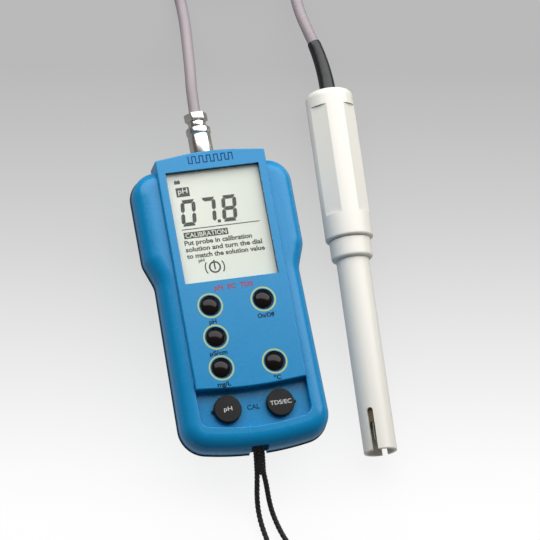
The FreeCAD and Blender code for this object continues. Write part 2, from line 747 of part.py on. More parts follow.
tube("lead_meter_side", METER_LEAD, size("lead_d"))
tube("lead_probe_side", PROBE_LEAD, size("lead_d"))
keep("lead_coil", lead_coil())
keep("coil_tie", coil_tie())
keep("strap_sleeve", strap_sleeve())
tube("strap_loop", STRAP_LOOP, size("strap_d"))

# ---------------------------------------------------------------- check and write
doc.recompute()
failed = [item.Name for item in doc.Objects if "Invalid" in item.State or "Error" in item.State]
if failed:
    raise RuntimeError("failed to build: " + ", ".join(failed))

os.makedirs("parts", exist_ok=True)
for item in nodes:
    shape = item.Shape
    if shape.isNull() or not shape.isValid() or not shape.Solids:
        raise RuntimeError("bad shape: " + item.Label)
    shape.exportStep("parts/%s.step" % item.Label)
print("%d sub-parts, %d solids" % (len(nodes), sum(len(item.Shape.Solids) for item in nodes)))
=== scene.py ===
import math

import bmesh
import bpy
from mathutils import Matrix, Vector


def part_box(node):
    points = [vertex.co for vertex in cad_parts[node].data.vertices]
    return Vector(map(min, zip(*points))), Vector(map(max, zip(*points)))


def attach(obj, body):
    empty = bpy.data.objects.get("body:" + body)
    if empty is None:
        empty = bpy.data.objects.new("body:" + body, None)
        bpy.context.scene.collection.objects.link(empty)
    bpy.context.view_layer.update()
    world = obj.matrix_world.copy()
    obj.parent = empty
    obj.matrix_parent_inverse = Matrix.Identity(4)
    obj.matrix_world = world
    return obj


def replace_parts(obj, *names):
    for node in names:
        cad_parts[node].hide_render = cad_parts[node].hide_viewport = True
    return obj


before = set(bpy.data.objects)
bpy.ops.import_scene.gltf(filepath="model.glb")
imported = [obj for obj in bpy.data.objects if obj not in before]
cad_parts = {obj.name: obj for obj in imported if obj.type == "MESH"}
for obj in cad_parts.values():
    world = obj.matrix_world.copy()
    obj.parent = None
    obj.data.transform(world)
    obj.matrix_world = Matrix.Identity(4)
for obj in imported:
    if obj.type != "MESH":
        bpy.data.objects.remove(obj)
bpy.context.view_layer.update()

MM = 0.001


def mm(*numbers):
    """Millimetres as a place in metres."""
    return Vector(numbers) * MM


def middle(node):
    """The middle of a node's box."""
    low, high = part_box(node)
    return (Vector(low) + Vector(high)) / 2


# ---------------------------------------------------------------- places, from the frame
PANEL_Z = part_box("front_shell")[1][2]
FACE = Vector((middle("display_window").x, middle("display_window").y, PANEL_Z))
CONNECTOR = Vector((middle("plug_body").x, 0, middle("plug_body").z))
UNIT = Matrix.Scale(MM, 4)

# the probe lies beside the meter; its axis passes PROBE_CROSSING, level with the origin
PROBE_YAW = math.radians(-2.5)
PROBE_LENGTH = 182.8
PROBE_TIP_Y = 90.3
PROBE_CROSSING = mm(44.4, 0, 11.7)
PROBE_AXIS = Vector((-math.sin(PROBE_YAW), math.cos(PROBE_YAW), 0))
PROBE_TIP = PROBE_CROSSING - PROBE_AXIS * PROBE_TIP_Y * MM


def face_place(x=0.0, y=0.0, z=0.0, turn=0.0):
    """A place on the meter's face: millimetres from the middle of the display, z from the raised panel."""
    return Matrix.Translation(FACE + mm(x, y, z)) @ Matrix.Rotation(turn, 4, "Z") @ UNIT


def back_place(x, y):
    """A place on the meter's back, read from behind."""
    spot = Vector((FACE.x, FACE.y, 0)) + mm(x, y, 0)
    return Matrix.Translation(spot) @ Matrix.Rotation(math.pi, 4, "Y") @ UNIT


def connector_place():
    """Along the connector: a piece's own z runs out of the meter's end, from the display's middle."""
    spot = Vector((CONNECTOR.x, FACE.y, CONNECTOR.z))
    return Matrix.Translation(spot) @ Matrix.Rotation(-math.pi / 2, 4, "X") @ UNIT


def probe_place():
    """Along the probe: a piece's own z runs from the tip to the lead, and -y is up."""
    lying = Matrix.Rotation(PROBE_YAW, 4, "Z") @ Matrix.Rotation(-math.pi / 2, 4, "X")
    return Matrix.Translation(PROBE_TIP) @ lying @ UNIT


# ---------------------------------------------------------------- camera
CAMERA_AIM = mm(-1.6, 0.7, 33.4)
CAMERA_AZIMUTH = math.radians(-39.6)
CAMERA_ELEVATION = math.radians(70.3)
CAMERA_ROLL = math.radians(30.75)
CAMERA_DISTANCE = 2.153
CAMERA_LENS = 300


def add_camera():
    """A long lens looking down on the instrument from beyond its strap end."""
    lens = bpy.data.cameras.new("camera")
    lens.lens = CAMERA_LENS
    lens.sensor_width = 36
    lens.clip_start = 0.1
    lens.clip_end = 20
    camera = bpy.data.objects.new("camera", lens)
    flat = math.cos(CAMERA_ELEVATION)
    back = Vector((math.sin(CAMERA_AZIMUTH) * flat, -math.cos(CAMERA_AZIMUTH) * flat,
                   math.sin(CAMERA_ELEVATION)))
    aim = back.to_track_quat("Z", "Y").to_matrix().to_4x4()
    camera.matrix_world = (Matrix.Translation(CAMERA_AIM + back * CAMERA_DISTANCE)
                           @ aim @ Matrix.Rotation(CAMERA_ROLL, 4, "Z"))
    bpy.context.collection.objects.link(camera)
    bpy.context.scene.camera = camera


add_camera()


# ---------------------------------------------------------------- finishes
def colour(red, green, blue):
    """A screen colour, 0 to 255, as the linear one a shader takes."""
    linear = [((c / 255 + 0.055) / 1.055) ** 2.4 if c > 10 else c / 255 / 12.92 for c in (red, green, blue)]
    return (*linear, 1.0)


def new_group(name, inputs, outputs):
    """An empty shader group with named sockets."""
    group = bpy.data.node_groups.new(name, "ShaderNodeTree")
    for label, kind, start in inputs:
        socket = group.interface.new_socket(label, in_out="INPUT", socket_type="NodeSocket" + kind)
        if start is not None:
            socket.default_value = start
    for label, kind in outputs:
        group.interface.new_socket(label, in_out="OUTPUT", socket_type="NodeSocket" + kind)
    return group, group.nodes.new("NodeGroupInput").outputs, group.nodes.new("NodeGroupOutput").inputs


def noise(tree, place, scale, detail=3.0, twist=0.0):
    """A Noise node's value; its scale is a number or another node's output."""
    node = tree.nodes.new("ShaderNodeTexNoise")
    node.inputs["Detail"].default_value = detail
    node.inputs["Distortion"].default_value = twist
    tree.links.new(place, node.inputs["Vector"])
    if isinstance(scale, float):
        node.inputs["Scale"].default_value = scale
    else:
        tree.links.new(scale, node.inputs["Scale"])
    return node.outputs["Fac"]


def maths(tree, kind, *terms):
    """A Math node; each term is a number or another node's output."""
    node = tree.nodes.new("ShaderNodeMath")
    node.operation = kind
    for socket, term in zip(node.inputs, terms):
        if isinstance(term, (int, float)):
            socket.default_value = term
        else:
            tree.links.new(term, socket)
    return node.outputs[0]


def spread(tree, value, low, high, start=0.0, end=1.0):
    """Stretches the part of a value between low and high over start to end."""
    node = tree.nodes.new("ShaderNodeMapRange")
    tree.links.new(value, node.inputs["Value"])
    for label, number in (("From Min", low), ("From Max", high), ("To Min", start), ("To Max", end)):
        node.inputs[label].default_value = number
    return node.outputs["Result"]


def blended(tree, share, first, second):
    """One colour turning into another by a share."""
    node = tree.nodes.new("ShaderNodeMix")
    node.data_type = "RGBA"
    for label, term in (("Factor_Float", share), ("A_Color", first), ("B_Color", second)):
        socket = [s for s in node.inputs if s.identifier == label][0]
        if isinstance(term, (int, float, tuple)):
            socket.default_value = term
        else:
            tree.links.new(term, socket)
    return [s for s in node.outputs if s.identifier == "Result_Color"][0]


# what every shared effect puts out
SURFACE = [("Color", "Color"), ("Roughness", "Float"), ("Height", "Float")]


def moulded_group():
    """Moulded plastic or rubber: slow tone changes, fine spark grain, handling marks in the gloss."""
    group, inside, out = new_group("moulded_surface", [
        ("Place", "Vector", None), ("Base", "Color", None), ("Shade", "Color", None),
        ("Mottle", "Float", 0.5), ("Grain", "Float", 2500.0), ("Gloss", "Float", 0.4),
        ("Marks", "Float", 0.1),
    ], SURFACE)
    slow = spread(group, noise(group, inside["Place"], 45.0, 4.0, 0.4), 0.35, 0.65)
    fine = noise(group, inside["Place"], inside["Grain"], 2.0)
    tone = maths(group, "ADD", maths(group, "MULTIPLY", fine, 0.35), slow)
    tone = maths(group, "MULTIPLY", tone, inside["Mottle"])
    group.links.new(blended(group, tone, inside["Base"], inside["Shade"]), out["Color"])
    rubbed = spread(group, noise(group, inside["Place"], 110.0, 6.0, 1.2), 0.4, 0.7)
    gloss = maths(group, "ADD", inside["Gloss"], maths(group, "MULTIPLY", rubbed, inside["Marks"]))
    group.links.new(gloss, out["Roughness"])
    group.links.new(fine, out["Height"])
    return group


def brushed_group():
    """Turned metal: fine rings round an axis, stains in random patches."""
    group, inside, out = new_group("turned_metal", [
        ("Place", "Vector", None), ("Bright", "Color", None), ("Stain", "Color", None),
        ("Rings", "Float", 900.0), ("Gloss", "Float", 0.2),
    ], SURFACE)
    split = group.nodes.new("ShaderNodeSeparateXYZ")
    group.links.new(inside["Place"], split.inputs[0])
    joined = group.nodes.new("ShaderNodeCombineXYZ")
    group.links.new(maths(group, "MULTIPLY", split.outputs["Y"], 14.0), joined.inputs["Y"])
    group.links.new(split.outputs["X"], joined.inputs["X"])
    group.links.new(split.outputs["Z"], joined.inputs["Z"])
    rings = noise(group, joined.outputs[0], inside["Rings"], 2.0)
    stain = spread(group, noise(group, inside["Place"], 260.0, 5.0, 0.8), 0.52, 0.8, 0.0, 0.5)
    group.links.new(blended(group, stain, inside["Bright"], inside["Stain"]), out["Color"])
    rough = maths(group, "ADD", inside["Gloss"], maths(group, "MULTIPLY", rings, 0.12))
    group.links.new(maths(group, "ADD", rough, maths(group, "MULTIPLY", stain, 0.15)), out["Roughness"])
    group.links.new(rings, out["Height"])
    return group


MOULDED = moulded_group()
BRUSHED = brushed_group()
RING_DEPTH = 0.004


def new_material(name):
    """A material with its tree, its shader and the place on the piece that patterns read."""
    material = bpy.data.materials.new(name)
    material.use_nodes = True
    tree = material.node_tree
    place = tree.nodes.new("ShaderNodeTexCoord").outputs["Object"]
    return material, tree, tree.nodes["Principled BSDF"], place


def use_group(tree, group, place, **values):
    """Puts a shared effect in a material with the material's own values."""
    node = tree.nodes.new("ShaderNodeGroup")
    node.node_tree = group
    tree.links.new(place, node.inputs["Place"])
    for label, value in values.items():
        node.inputs[label].default_value = value
    return node


def wire_up(tree, shader, surface, depth):
    """Joins an effect's colour, gloss and relief to the shader."""
    tree.links.new(surface.outputs["Color"], shader.inputs["Base Color"])
    tree.links.new(surface.outputs["Roughness"], shader.inputs["Roughness"])
    bump = tree.nodes.new("ShaderNodeBump")
    bump.inputs["Distance"].default_value = depth * MM
    bump.inputs["Strength"].default_value = 1.0
    tree.links.new(surface.outputs["Height"], bump.inputs["Height"])
    tree.links.new(bump.outputs["Normal"], shader.inputs["Normal"])


def moulded(name, base, shade, gloss=0.4, grain=2500.0, depth=0.01, marks=0.1, mottle=0.5, **constants):
    """A moulded plastic, rubber or printed finish; constants are the shader's own sockets."""
    material, tree, shader, place = new_material(name)
    surface = use_group(tree, MOULDED, place, Base=colour(*base), Shade=colour(*shade), Gloss=gloss,
                        Grain=grain, Marks=marks, Mottle=mottle)
    wire_up(tree, shader, surface, depth)
    for socket, value in constants.items():
        shader.inputs[socket.replace("_", " ")].default_value = value
    return material


def metal(name, bright, stain, gloss=0.2):
    """A turned and plated metal, stained in random patches."""
    material, tree, shader, place = new_material(name)
    surface = use_group(tree, BRUSHED, place, Bright=colour(*bright), Stain=colour(*stain), Gloss=gloss)
    wire_up(tree, shader, surface, RING_DEPTH)
    shader.inputs["Metallic"].default_value = 1.0
    return material


def circuit_board():
    """Green lacquer over copper tracks."""
    material, tree, shader, place = new_material("board_lacquer")
    tracks = tree.nodes.new("ShaderNodeTexBrick")
    tree.links.new(place, tracks.inputs["Vector"])
    tracks.inputs["Scale"].default_value = 160.0
    tracks.inputs["Mortar Size"].default_value = 0.06
    tracks.inputs["Color1"].default_value = colour(22, 84, 48)
    tracks.inputs["Color2"].default_value = colour(26, 94, 54)
    tracks.inputs["Mortar"].default_value = colour(66, 132, 70)
    tree.links.new(tracks.outputs["Color"], shader.inputs["Base Color"])
    surface = use_group(tree, MOULDED, place, Gloss=0.28, Grain=1800.0)
    tree.links.new(surface.outputs["Roughness"], shader.inputs["Roughness"])
    bump = tree.nodes.new("ShaderNodeBump")
    bump.inputs["Distance"].default_value = 0.03 * MM
    tree.links.new(tracks.outputs["Fac"], bump.inputs["Height"])
    tree.links.new(bump.outputs["Normal"], shader.inputs["Normal"])
    return material


def display_reflector():
    """The display's pale reflector: faintly speckled, with painted shade that makes it cooler and duller
    towards its right side.
    """
    material, tree, shader, place = new_material("display_reflector")
    centre = tree.nodes.new("ShaderNodeMapping")
    centre.inputs["Location"].default_value = -FACE
    tree.links.new(place, centre.inputs["Vector"])
    split = tree.nodes.new("ShaderNodeSeparateXYZ")
    tree.links.new(centre.outputs[0], split.inputs[0])
    # painted shade: the reflector is painted darker towards its right side, where the window's wall shades it
    across = spread(tree, split.outputs["X"], -0.012, 0.023)
    speckle = spread(tree, noise(tree, place, 4200.0, 2.0), 0.3, 0.7, 0.0, 0.25)
    base = blended(tree, across, colour(228, 232, 221), colour(217, 222, 211))
    tree.links.new(blended(tree, speckle, base, colour(242, 245, 237)), shader.inputs["Base Color"])
    gloss = spread(tree, noise(tree, place, 90.0, 4.0), 0.3, 0.7, 0.32, 0.45)
    tree.links.new(gloss, shader.inputs["Roughness"])
    return material


def woven(name, yarn, gap):
    """Braided yarn: twisted fibres along each strand, with painted shade: a darker tone laid in noise patches
    for the shade where strands meet.
    """
    material, tree, shader, place = new_material(name)
    fibre = noise(tree, place, 5200.0, 3.0, 0.6)
    patches = noise(tree, place, 420.0, 3.0)
    # painted shade: the gap colour, laid by noise, stands for shade between strands
    tone = maths(tree, "MULTIPLY", spread(tree, fibre, 0.35, 0.65),
                 spread(tree, patches, 0.25, 0.75, 0.45, 1.0))
    tree.links.new(blended(tree, tone, colour(*gap), colour(*yarn)), shader.inputs["Base Color"])
    tree.links.new(spread(tree, fibre, 0.3, 0.7, 0.5, 0.72), shader.inputs["Roughness"])
    bump = tree.nodes.new("ShaderNodeBump")
    bump.inputs["Distance"].default_value = 0.06 * MM
    tree.links.new(fibre, bump.inputs["Height"])
    tree.links.new(bump.outputs["Normal"], shader.inputs["Normal"])
    shader.inputs["Sheen Weight"].default_value = 0.6
    shader.inputs["Sheen Roughness"].default_value = 0.4
    return material


CASE_BLUE = moulded("case_blue_satin", (2, 138, 196), (1, 132, 190), 0.25, 2200.0, 0.006, 0.06, 0.4,
                    Specular_IOR_Level=0.42)
SEAL_BLACK = moulded("seal_black_rubber", (22, 24, 28), (34, 36, 40), 0.6, 1500.0, 0.03, 0.1)
BUTTON_BLACK = moulded("button_black_gloss", (22, 17, 16), (28, 22, 20), 0.13, 1500.0, 0.002, 0.06,
                       Specular_IOR_Level=0.28)
KNOB_GREY = moulded("knob_charcoal", (32, 31, 32), (40, 39, 40), 0.55, 3000.0, 0.02, 0.08,
                    Specular_IOR_Level=0.25)
KNOB_PRINT = moulded("knob_white_print", (222, 222, 220), (204, 204, 202), 0.5, 3000.0, 0.004)
PANE_CLEAR = moulded("window_clear_hard", (225, 232, 222), (216, 224, 214), 0.05, 900.0, 0.001, 0.04,
                     Alpha=0.06)
REFLECTOR = display_reflector()
SEGMENT_BLACK = moulded("segment_ink", (20, 22, 21), (30, 32, 30), 0.4, 3000.0, 0.004,
                        Specular_IOR_Level=0.15)
SEGMENT_PALE = moulded("segment_clear", (228, 232, 221), (217, 222, 211), 0.4, 3000.0, 0.004)
INNER_PLASTIC = moulded("inner_plastic_grey", (78, 80, 84), (92, 94, 96), 0.5)
SOFT_RUBBER = moulded("contact_rubber_pink", (196, 150, 142), (180, 132, 126), 0.65)
BOARD_GREEN = circuit_board()
CHIP_BLACK = moulded("chip_epoxy", (26, 26, 28), (40, 40, 42), 0.45, 4000.0, 0.03)
TRIMMER_BLUE = moulded("trimmer_blue", (36, 76, 150), (46, 88, 160), 0.4)
SCREW_STEEL = metal("screw_zinc", (168, 168, 166), (110, 108, 104), 0.3)
NICKEL = metal("connector_nickel", (228, 223, 217), (164, 152, 140), 0.13)
CONTACT_GOLD = metal("contact_gold", (214, 176, 96), (160, 120, 60), 0.22)
BATTERY_JACKET = moulded("battery_jacket", (40, 42, 46), (180, 140, 60), 0.3, 900.0, 0.004, 0.1, 0.2)
PROBE_WHITE = moulded("probe_white_gloss", (239, 236, 227), (235, 232, 223), 0.28, 1800.0, 0.002, 0.03, 0.3)
# the electrode body's cream is painted dark brown: painted shade of the slot it sits in
ELECTRODE_SHADED_BROWN = moulded("electrode_cream", (104, 92, 70), (88, 76, 58), 0.35)
ELECTRODE_GLASS = moulded("electrode_glass", (196, 206, 190), (180, 192, 176), 0.05, 900.0, 0.001, 0.02,
                          Coat_Weight=0.6)
JUNCTION_CERAMIC = moulded("junction_ceramic", (240, 238, 232), (222, 218, 208), 0.7, 5200.0, 0.05)
SENSOR_GREEN = moulded("sensor_green_glass", (120, 176, 78), (100, 152, 64), 0.15, 900.0, 0.002, 0.04)
BOOT_BLACK = moulded("boot_black_gloss", (30, 31, 33), (40, 41, 44), 0.26, 1500.0, 0.006, 0.12)
RING_GREY = moulded("ring_grey", (132, 132, 132), (118, 118, 120), 0.45)
LEAD_GREY = moulded("lead_grey_vinyl", (160, 150, 154), (150, 140, 146), 0.36, 1600.0, 0.01, 0.12)
STRAP_BLACK = woven("strap_black_braid", (52, 51, 54), (16, 16, 18))
TIE_BLACK = moulded("tie_black_hook", (34, 34, 36), (48, 48, 52), 0.75, 1300.0, 0.12)
RING_PRINT = moulded("button_ring_print", (196, 204, 118), (182, 194, 104), 0.45, 2600.0, 0.004)
LABEL_PRINT = moulded("label_dark_print", (4, 14, 32), (8, 22, 42), 0.45, 2600.0, 0.002,
                      Specular_IOR_Level=0.15)
RED_PRINT = moulded("label_red_print", (186, 52, 66), (160, 66, 88), 0.45, 2600.0, 0.002, 0.1, 0.8,
                    Specular_IOR_Level=0.2)
# dark blue for the CAL label and, as painted shade, for the engraved square-wave line
MARK_AND_GROOVE_SHADE_BLUE = moulded("panel_mark_and_groove_shade", (2, 58, 112), (4, 66, 122), 0.45, 2600.0, 0.002,
                    Specular_IOR_Level=0.15)
BATTERY_PRINT = moulded("door_mark_blue", (28, 100, 160), (34, 108, 168), 0.4)


def dress(material, *nodes):
    """Gives the frame's own pieces a finish."""
    for node in nodes:
        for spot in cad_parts[node].material_slots:
            spot.material = material


dress(CASE_BLUE, "front_shell", "back_shell", "battery_door")
dress(SEAL_BLACK, "shell_gasket", "electrode_seals")
dress(PANE_CLEAR, "display_window")
dress(REFLECTOR, "display_glass")
dress(INNER_PLASTIC, "display_frame", "tact_switches")
dress(SOFT_RUBBER, "contact_strip")
dress(BOARD_GREEN, "main_board", "amplifier_board")
dress(CHIP_BLACK, "board_chips", "amplifier_chips", "battery_clip")
dress(TRIMMER_BLUE, "trimmer_ph", "trimmer_conductivity")
dress(SCREW_STEEL, "case_screws", "strap_bar")
dress(NICKEL, "jack", "jack_nut", "jack_washer")
dress(CONTACT_GOLD, "jack_pins")
dress(BATTERY_JACKET, "battery")
dress(PROBE_WHITE, "probe_handle", "probe_collar", "probe_shaft")
dress(ELECTRODE_SHADED_BROWN, "electrode_body")
dress(ELECTRODE_GLASS, "ph_electrode")
dress(JUNCTION_CERAMIC, "reference_junction")
dress(SCREW_STEEL, "conductivity_pins")
dress(SENSOR_GREEN, "temperature_sensor")
dress(RING_GREY, "boot_ring")


# ---------------------------------------------------------------- modelling helpers
def add_piece(name, data, body, material):
    """A finished mesh or curve as a piece that rides on a body."""
    data.materials.clear()
    data.materials.append(material)
    piece = bpy.data.objects.new(name, data)
    bpy.context.collection.objects.link(piece)
    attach(piece, body)
    return piece


# millimetres; corners closer than this are one
TOUCHING = 1e-4


def settle(bm, name, body, material, place, crease=35):
    """Finishes a modelled shape: its place goes into its mesh, and it rides on its body."""
    bmesh.ops.remove_doubles(bm, verts=bm.verts, dist=TOUCHING)
    bmesh.ops.recalc_face_normals(bm, faces=bm.faces)
    bmesh.ops.transform(bm, matrix=place, verts=bm.verts)
    mesh = bpy.data.meshes.new(name)
    bm.to_mesh(mesh)
    bm.free()
    mesh.shade_smooth()
    mesh.set_sharp_from_angle(angle=math.radians(crease))
    return add_piece(name, mesh, body, material)


def lathe(profile, steps=64):
    """A shape turned about z from (radius, height) corners."""
    bm = bmesh.new()
    corners = [bm.verts.new((radius, 0, height)) for radius, height in profile]
    edges = [bm.edges.new(pair) for pair in zip(corners, corners[1:])]
    bmesh.ops.spin(bm, geom=corners + edges, cent=(0, 0, 0), axis=(0, 0, 1), angle=2 * math.pi,
                   steps=steps, use_merge=True)
    bmesh.ops.remove_doubles(bm, verts=bm.verts, dist=TOUCHING)
    bmesh.ops.recalc_face_normals(bm, faces=bm.faces)
    return bm


def soften(bm, amount, segments=2, angle=40):
    """Rounds every edge sharper than an angle."""
    bm.normal_update()
    sharp = [edge for edge in bm.edges if edge.is_manifold and edge.calc_face_angle() > math.radians(angle)]
    bmesh.ops.bevel(bm, geom=sharp, offset=amount, offset_type="OFFSET", segments=segments, profile=0.5,
                    affect="EDGES", material=-1, clamp_overlap=True)
    return bm


def arc(centre, radius, start, end, steps):
    """(x, y) points along an arc, angles in degrees."""
    turns = [math.radians(start + (end - start) * n / steps) for n in range(steps + 1)]
    return [(centre[0] + radius * math.cos(t), centre[1] + radius * math.sin(t)) for t in turns]


def plate(bm, corners, bottom, top):
    """A flat plate from its outline."""
    face = bm.faces.new([bm.verts.new((x, y, bottom)) for x, y in corners])
    grown = bmesh.ops.extrude_face_region(bm, geom=[face])
    raised = [item for item in grown["geom"] if isinstance(item, bmesh.types.BMVert)]
    bmesh.ops.translate(bm, vec=(0, 0, top - bottom), verts=raised)


def bar(bm, x0, x1, y0, y1, bottom, top):
    """An upright rectangular plate."""
    plate(bm, [(x0, y0), (x1, y0), (x1, y1), (x0, y1)], bottom, top)


def band(bm, centre, outer, inner, start, end, bottom, top, steps=48):
    """A curved band between two radii."""
    outside = arc(centre, outer, start, end, steps)
    inside = arc(centre, inner, end, start, steps)
    if abs(end - start) >= 360:
        half = (start + end) / 2
        band(bm, centre, outer, inner, start, half, bottom, top, steps)
        band(bm, centre, outer, inner, half, end, bottom, top, steps)
        return
    plate(bm, outside + inside, bottom, top)


PRINT_THICK = 0.04
CAP_SHARE = 0.69  # a capital's height as a share of the type size


def evaluated_mesh(carrier):
    """The finished mesh of a curve or text object, which is then removed."""
    bpy.context.collection.objects.link(carrier)
    bpy.context.view_layer.update()
    mesh = bpy.data.meshes.new_from_object(carrier.evaluated_get(bpy.context.evaluated_depsgraph_get()))
    bpy.data.objects.remove(carrier)
    return mesh


def join_mesh(target, part, name):
    """Adds a second modelled shape to a first."""
    mesh = bpy.data.meshes.new(name)
    part.to_mesh(mesh)
    part.free()
    target.from_mesh(mesh)
    bpy.data.meshes.remove(mesh)


def words(text, width, cap, weight):
    """Lettering as a mesh in millimetres: capitals of one height, a set overall width, on its middle."""
    letters = bpy.data.curves.new("letters", "FONT")
    letters.body = text
    letters.size = cap / CAP_SHARE
    letters.extrude = PRINT_THICK / 2
    letters.offset = weight * cap
    letters.resolution_u = 4
    mesh = evaluated_mesh(bpy.data.objects.new("letters", letters))
    bpy.data.curves.remove(letters)
    low = min(vertex.co.x for vertex in mesh.vertices)
    high = max(vertex.co.x for vertex in mesh.vertices)
    centred = Matrix.Translation((-(low + high) / 2, 0, PRINT_THICK / 2))
    mesh.transform(Matrix.Scale(width / (high - low), 4, (1, 0, 0)) @ centred)
    return mesh


def lettering(name, lines, body, material, place, weight=0.04):
    """One printed piece from (text, width, cap, x, y, z) lines."""
    bm = bmesh.new()
    for text, width, cap, x, y, z in lines:
        mesh = words(text, width, cap, weight)
        mesh.transform(Matrix.Translation((x, y, z)))
        bm.from_mesh(mesh)
        bpy.data.meshes.remove(mesh)
    return settle(bm, name, body, material, place)


# ---------------------------------------------------------------- cords
METER_LEAD = [
    (-21.05, 86.8, 20.0), (-20.7, 98.0, 19.6), (-18.9, 110.0, 17.2), (-16.9, 124.0, 12.0),
    (-14.8, 138.0, 6.4), (-14.2, 149.5, 3.1), (-15.0, 160.0, 2.8), (-16.5, 170.0, 2.8),
    (-17.6, 179.0, 2.8),
]
PROBE_LEAD = [
    (45.86, 119.2, 11.7), (43.6, 128.6, 11.0), (42.3, 139.0, 8.8), (42.6, 149.5, 6.7),
    (44.2, 159.5, 6.3), (45.8, 169.5, 7.4), (46.7, 179.0, 8.4),
]
STRAP_LOOP = [
    (-21.8, -92.9, 15.3), (-22.1, -97.5, 12.2), (-22.2, -102.5, 7.0), (-21.9, -109.0, 2.4),
    (-21.0, -118.0, 1.4), (-18.4, -130.0, 1.4), (-11.6, -142.0, 1.4), (-1.0, -151.0, 1.4),
    (11.0, -156.4, 1.4), (21.5, -158.4, 1.4), (30.5, -158.0, 1.4), (37.0, -153.0, 1.4),
    (37.6, -145.0, 1.4), (32.4, -139.0, 1.4), (24.4, -138.0, 1.4), (14.0, -140.2, 1.4),
    (3.5, -140.0, 1.4), (-5.2, -134.0, 1.4), (-11.4, -124.0, 1.4), (-14.8, -112.0, 1.4),
    (-16.2, -104.0, 4.4), (-17.4, -98.2, 11.0), (-18.7, -92.9, 15.3),
]
LEAD_D = 5.6
STRAP_D = 2.8
COIL_CENTRE = (15.5, 193.0)
# each row is a place along the winding, in turns, with its radius and height there
COIL_LAYERS = [
    (0.0, 33.6, 2.8), (0.8, 33.6, 2.8), (1.0, 28.0, 2.8), (1.8, 28.0, 2.8), (2.0, 22.4, 2.8),
    (2.62, 22.4, 2.8), (2.8, 22.4, 8.5), (3.0, 25.2, 8.5), (3.08, 25.2, 7.7), (3.44, 25.2, 7.7),
    (3.54, 28.0, 8.5), (3.64, 30.8, 8.5), (4.0, 30.8, 8.5), (4.1, 30.8, 7.7), (4.42, 30.8, 7.7),
    (4.5, 30.8, 8.5),
]
COIL_TURNS = 4.5
COIL_STEPS = 24


def coil_points():
    """The wound turns: clockwise from the left, three on the surface and two nested on them."""
    points = []
    layer = 0
    for step in range(1, int(COIL_TURNS * COIL_STEPS)):
        turned = step / COIL_STEPS
        while COIL_LAYERS[layer + 1][0] < turned:
            layer += 1
        start, radius, height = COIL_LAYERS[layer]
        end, next_radius, next_height = COIL_LAYERS[layer + 1]
        share = (turned - start) / (end - start)
        radius += (next_radius - radius) * share
        height += (next_height - height) * share
        angle = math.pi - turned * 2 * math.pi
        points.append((COIL_CENTRE[0] + radius * math.cos(angle),
                       COIL_CENTRE[1] + radius * math.sin(angle), height))
    return points


def smooth_route(name, points, radius=0.0, sides=6):
    """A smooth line through a route, in millimetres, as a round cord if it has a radius."""
    curve = bpy.data.curves.new(name, "CURVE")
    curve.dimensions = "3D"
    curve.bevel_depth = radius * MM
    curve.bevel_resolution = sides
    curve.use_fill_caps = radius > 0
    spline = curve.splines.new("NURBS")
    spline.points.add(len(points) - 1)
    for spot, point in zip(spline.points, points):
        spot.co = (*mm(*point), 1)
    spline.order_u = 3
    spline.use_endpoint_u = True
    spline.resolution_u = 10
    return curve


def line_of(points):
    """The points that a route's smooth line follows, in metres."""
    mesh = evaluated_mesh(bpy.data.objects.new("guide", smooth_route("guide", points)))
    line = [vertex.co.copy() for vertex in mesh.vertices]
    bpy.data.meshes.remove(mesh)
    return line


def evenly(line, step):
    """The same line with its points a set distance apart."""
    spaced = [line[0]]
    wanted = step
    gone = 0.0
    for start, end in zip(line, line[1:]):
        run = (end - start).length
        while gone + run >= wanted:
            spaced.append(start.lerp(end, (wanted - gone) / run))
            wanted += step
        gone += run
    spaced.append(line[-1])
    return spaced


def frames_along(line, side):
    """For each point of a line, two directions square to it, carried along without twisting."""
    frames = []
    for n, point in enumerate(line):
        ahead = (line[min(n + 1, len(line) - 1)] - line[max(n - 1, 0)]).normalized()
        side = (side - ahead * side.dot(ahead)).normalized()
        frames.append((point, side, ahead.cross(side)))
    return frames


# a yarn's rise and fall where it crosses others, and its inset from the braid's surface, in yarn radii
YARN_LIFT = 0.42
YARN_INSET = 1.35


def braid(name, line, side, half_width, half_thick, yarn, carriers, pitch, step):
    """A braided sleeve round a line: yarns wound both ways, each passing over one and under one."""
    points = frames_along(evenly(line, step * MM), side)
    curve = bpy.data.curves.new(name, "CURVE")
    curve.dimensions = "3D"
    curve.bevel_depth = yarn * MM
    curve.bevel_resolution = 1
    curve.use_fill_caps = True
    for way in (1, -1):
        for carrier in range(carriers):
            spline = curve.splines.new("POLY")
            spline.points.add(len(points) - 1)
            for n, (spot, (point, across, up)) in enumerate(zip(spline.points, points)):
                turn = way * (2 * math.pi * n * step / pitch) + 2 * math.pi * carrier / carriers
                lift = way * YARN_LIFT * yarn * math.cos(carriers * 2 * math.pi * n * step / pitch)
                reach_x = half_width - yarn * YARN_INSET + lift
                reach_y = half_thick - yarn * YARN_INSET + lift
                sideways = across * (reach_x * math.cos(turn) * MM)
                upwards = up * (reach_y * math.sin(turn) * MM)
                spot.co = (*(point + sideways + upwards), 1)
    core = curve.splines.new("POLY")
    core.points.add(len(points) - 1)
    for spot, (point, _, _) in zip(core.points, points):
        spot.co = (*point, 1)
        spot.radius = (half_thick - yarn * 0.8) / yarn
    mesh = evaluated_mesh(bpy.data.objects.new(name, curve))
    mesh.name = name
    mesh.shade_smooth()
    return mesh


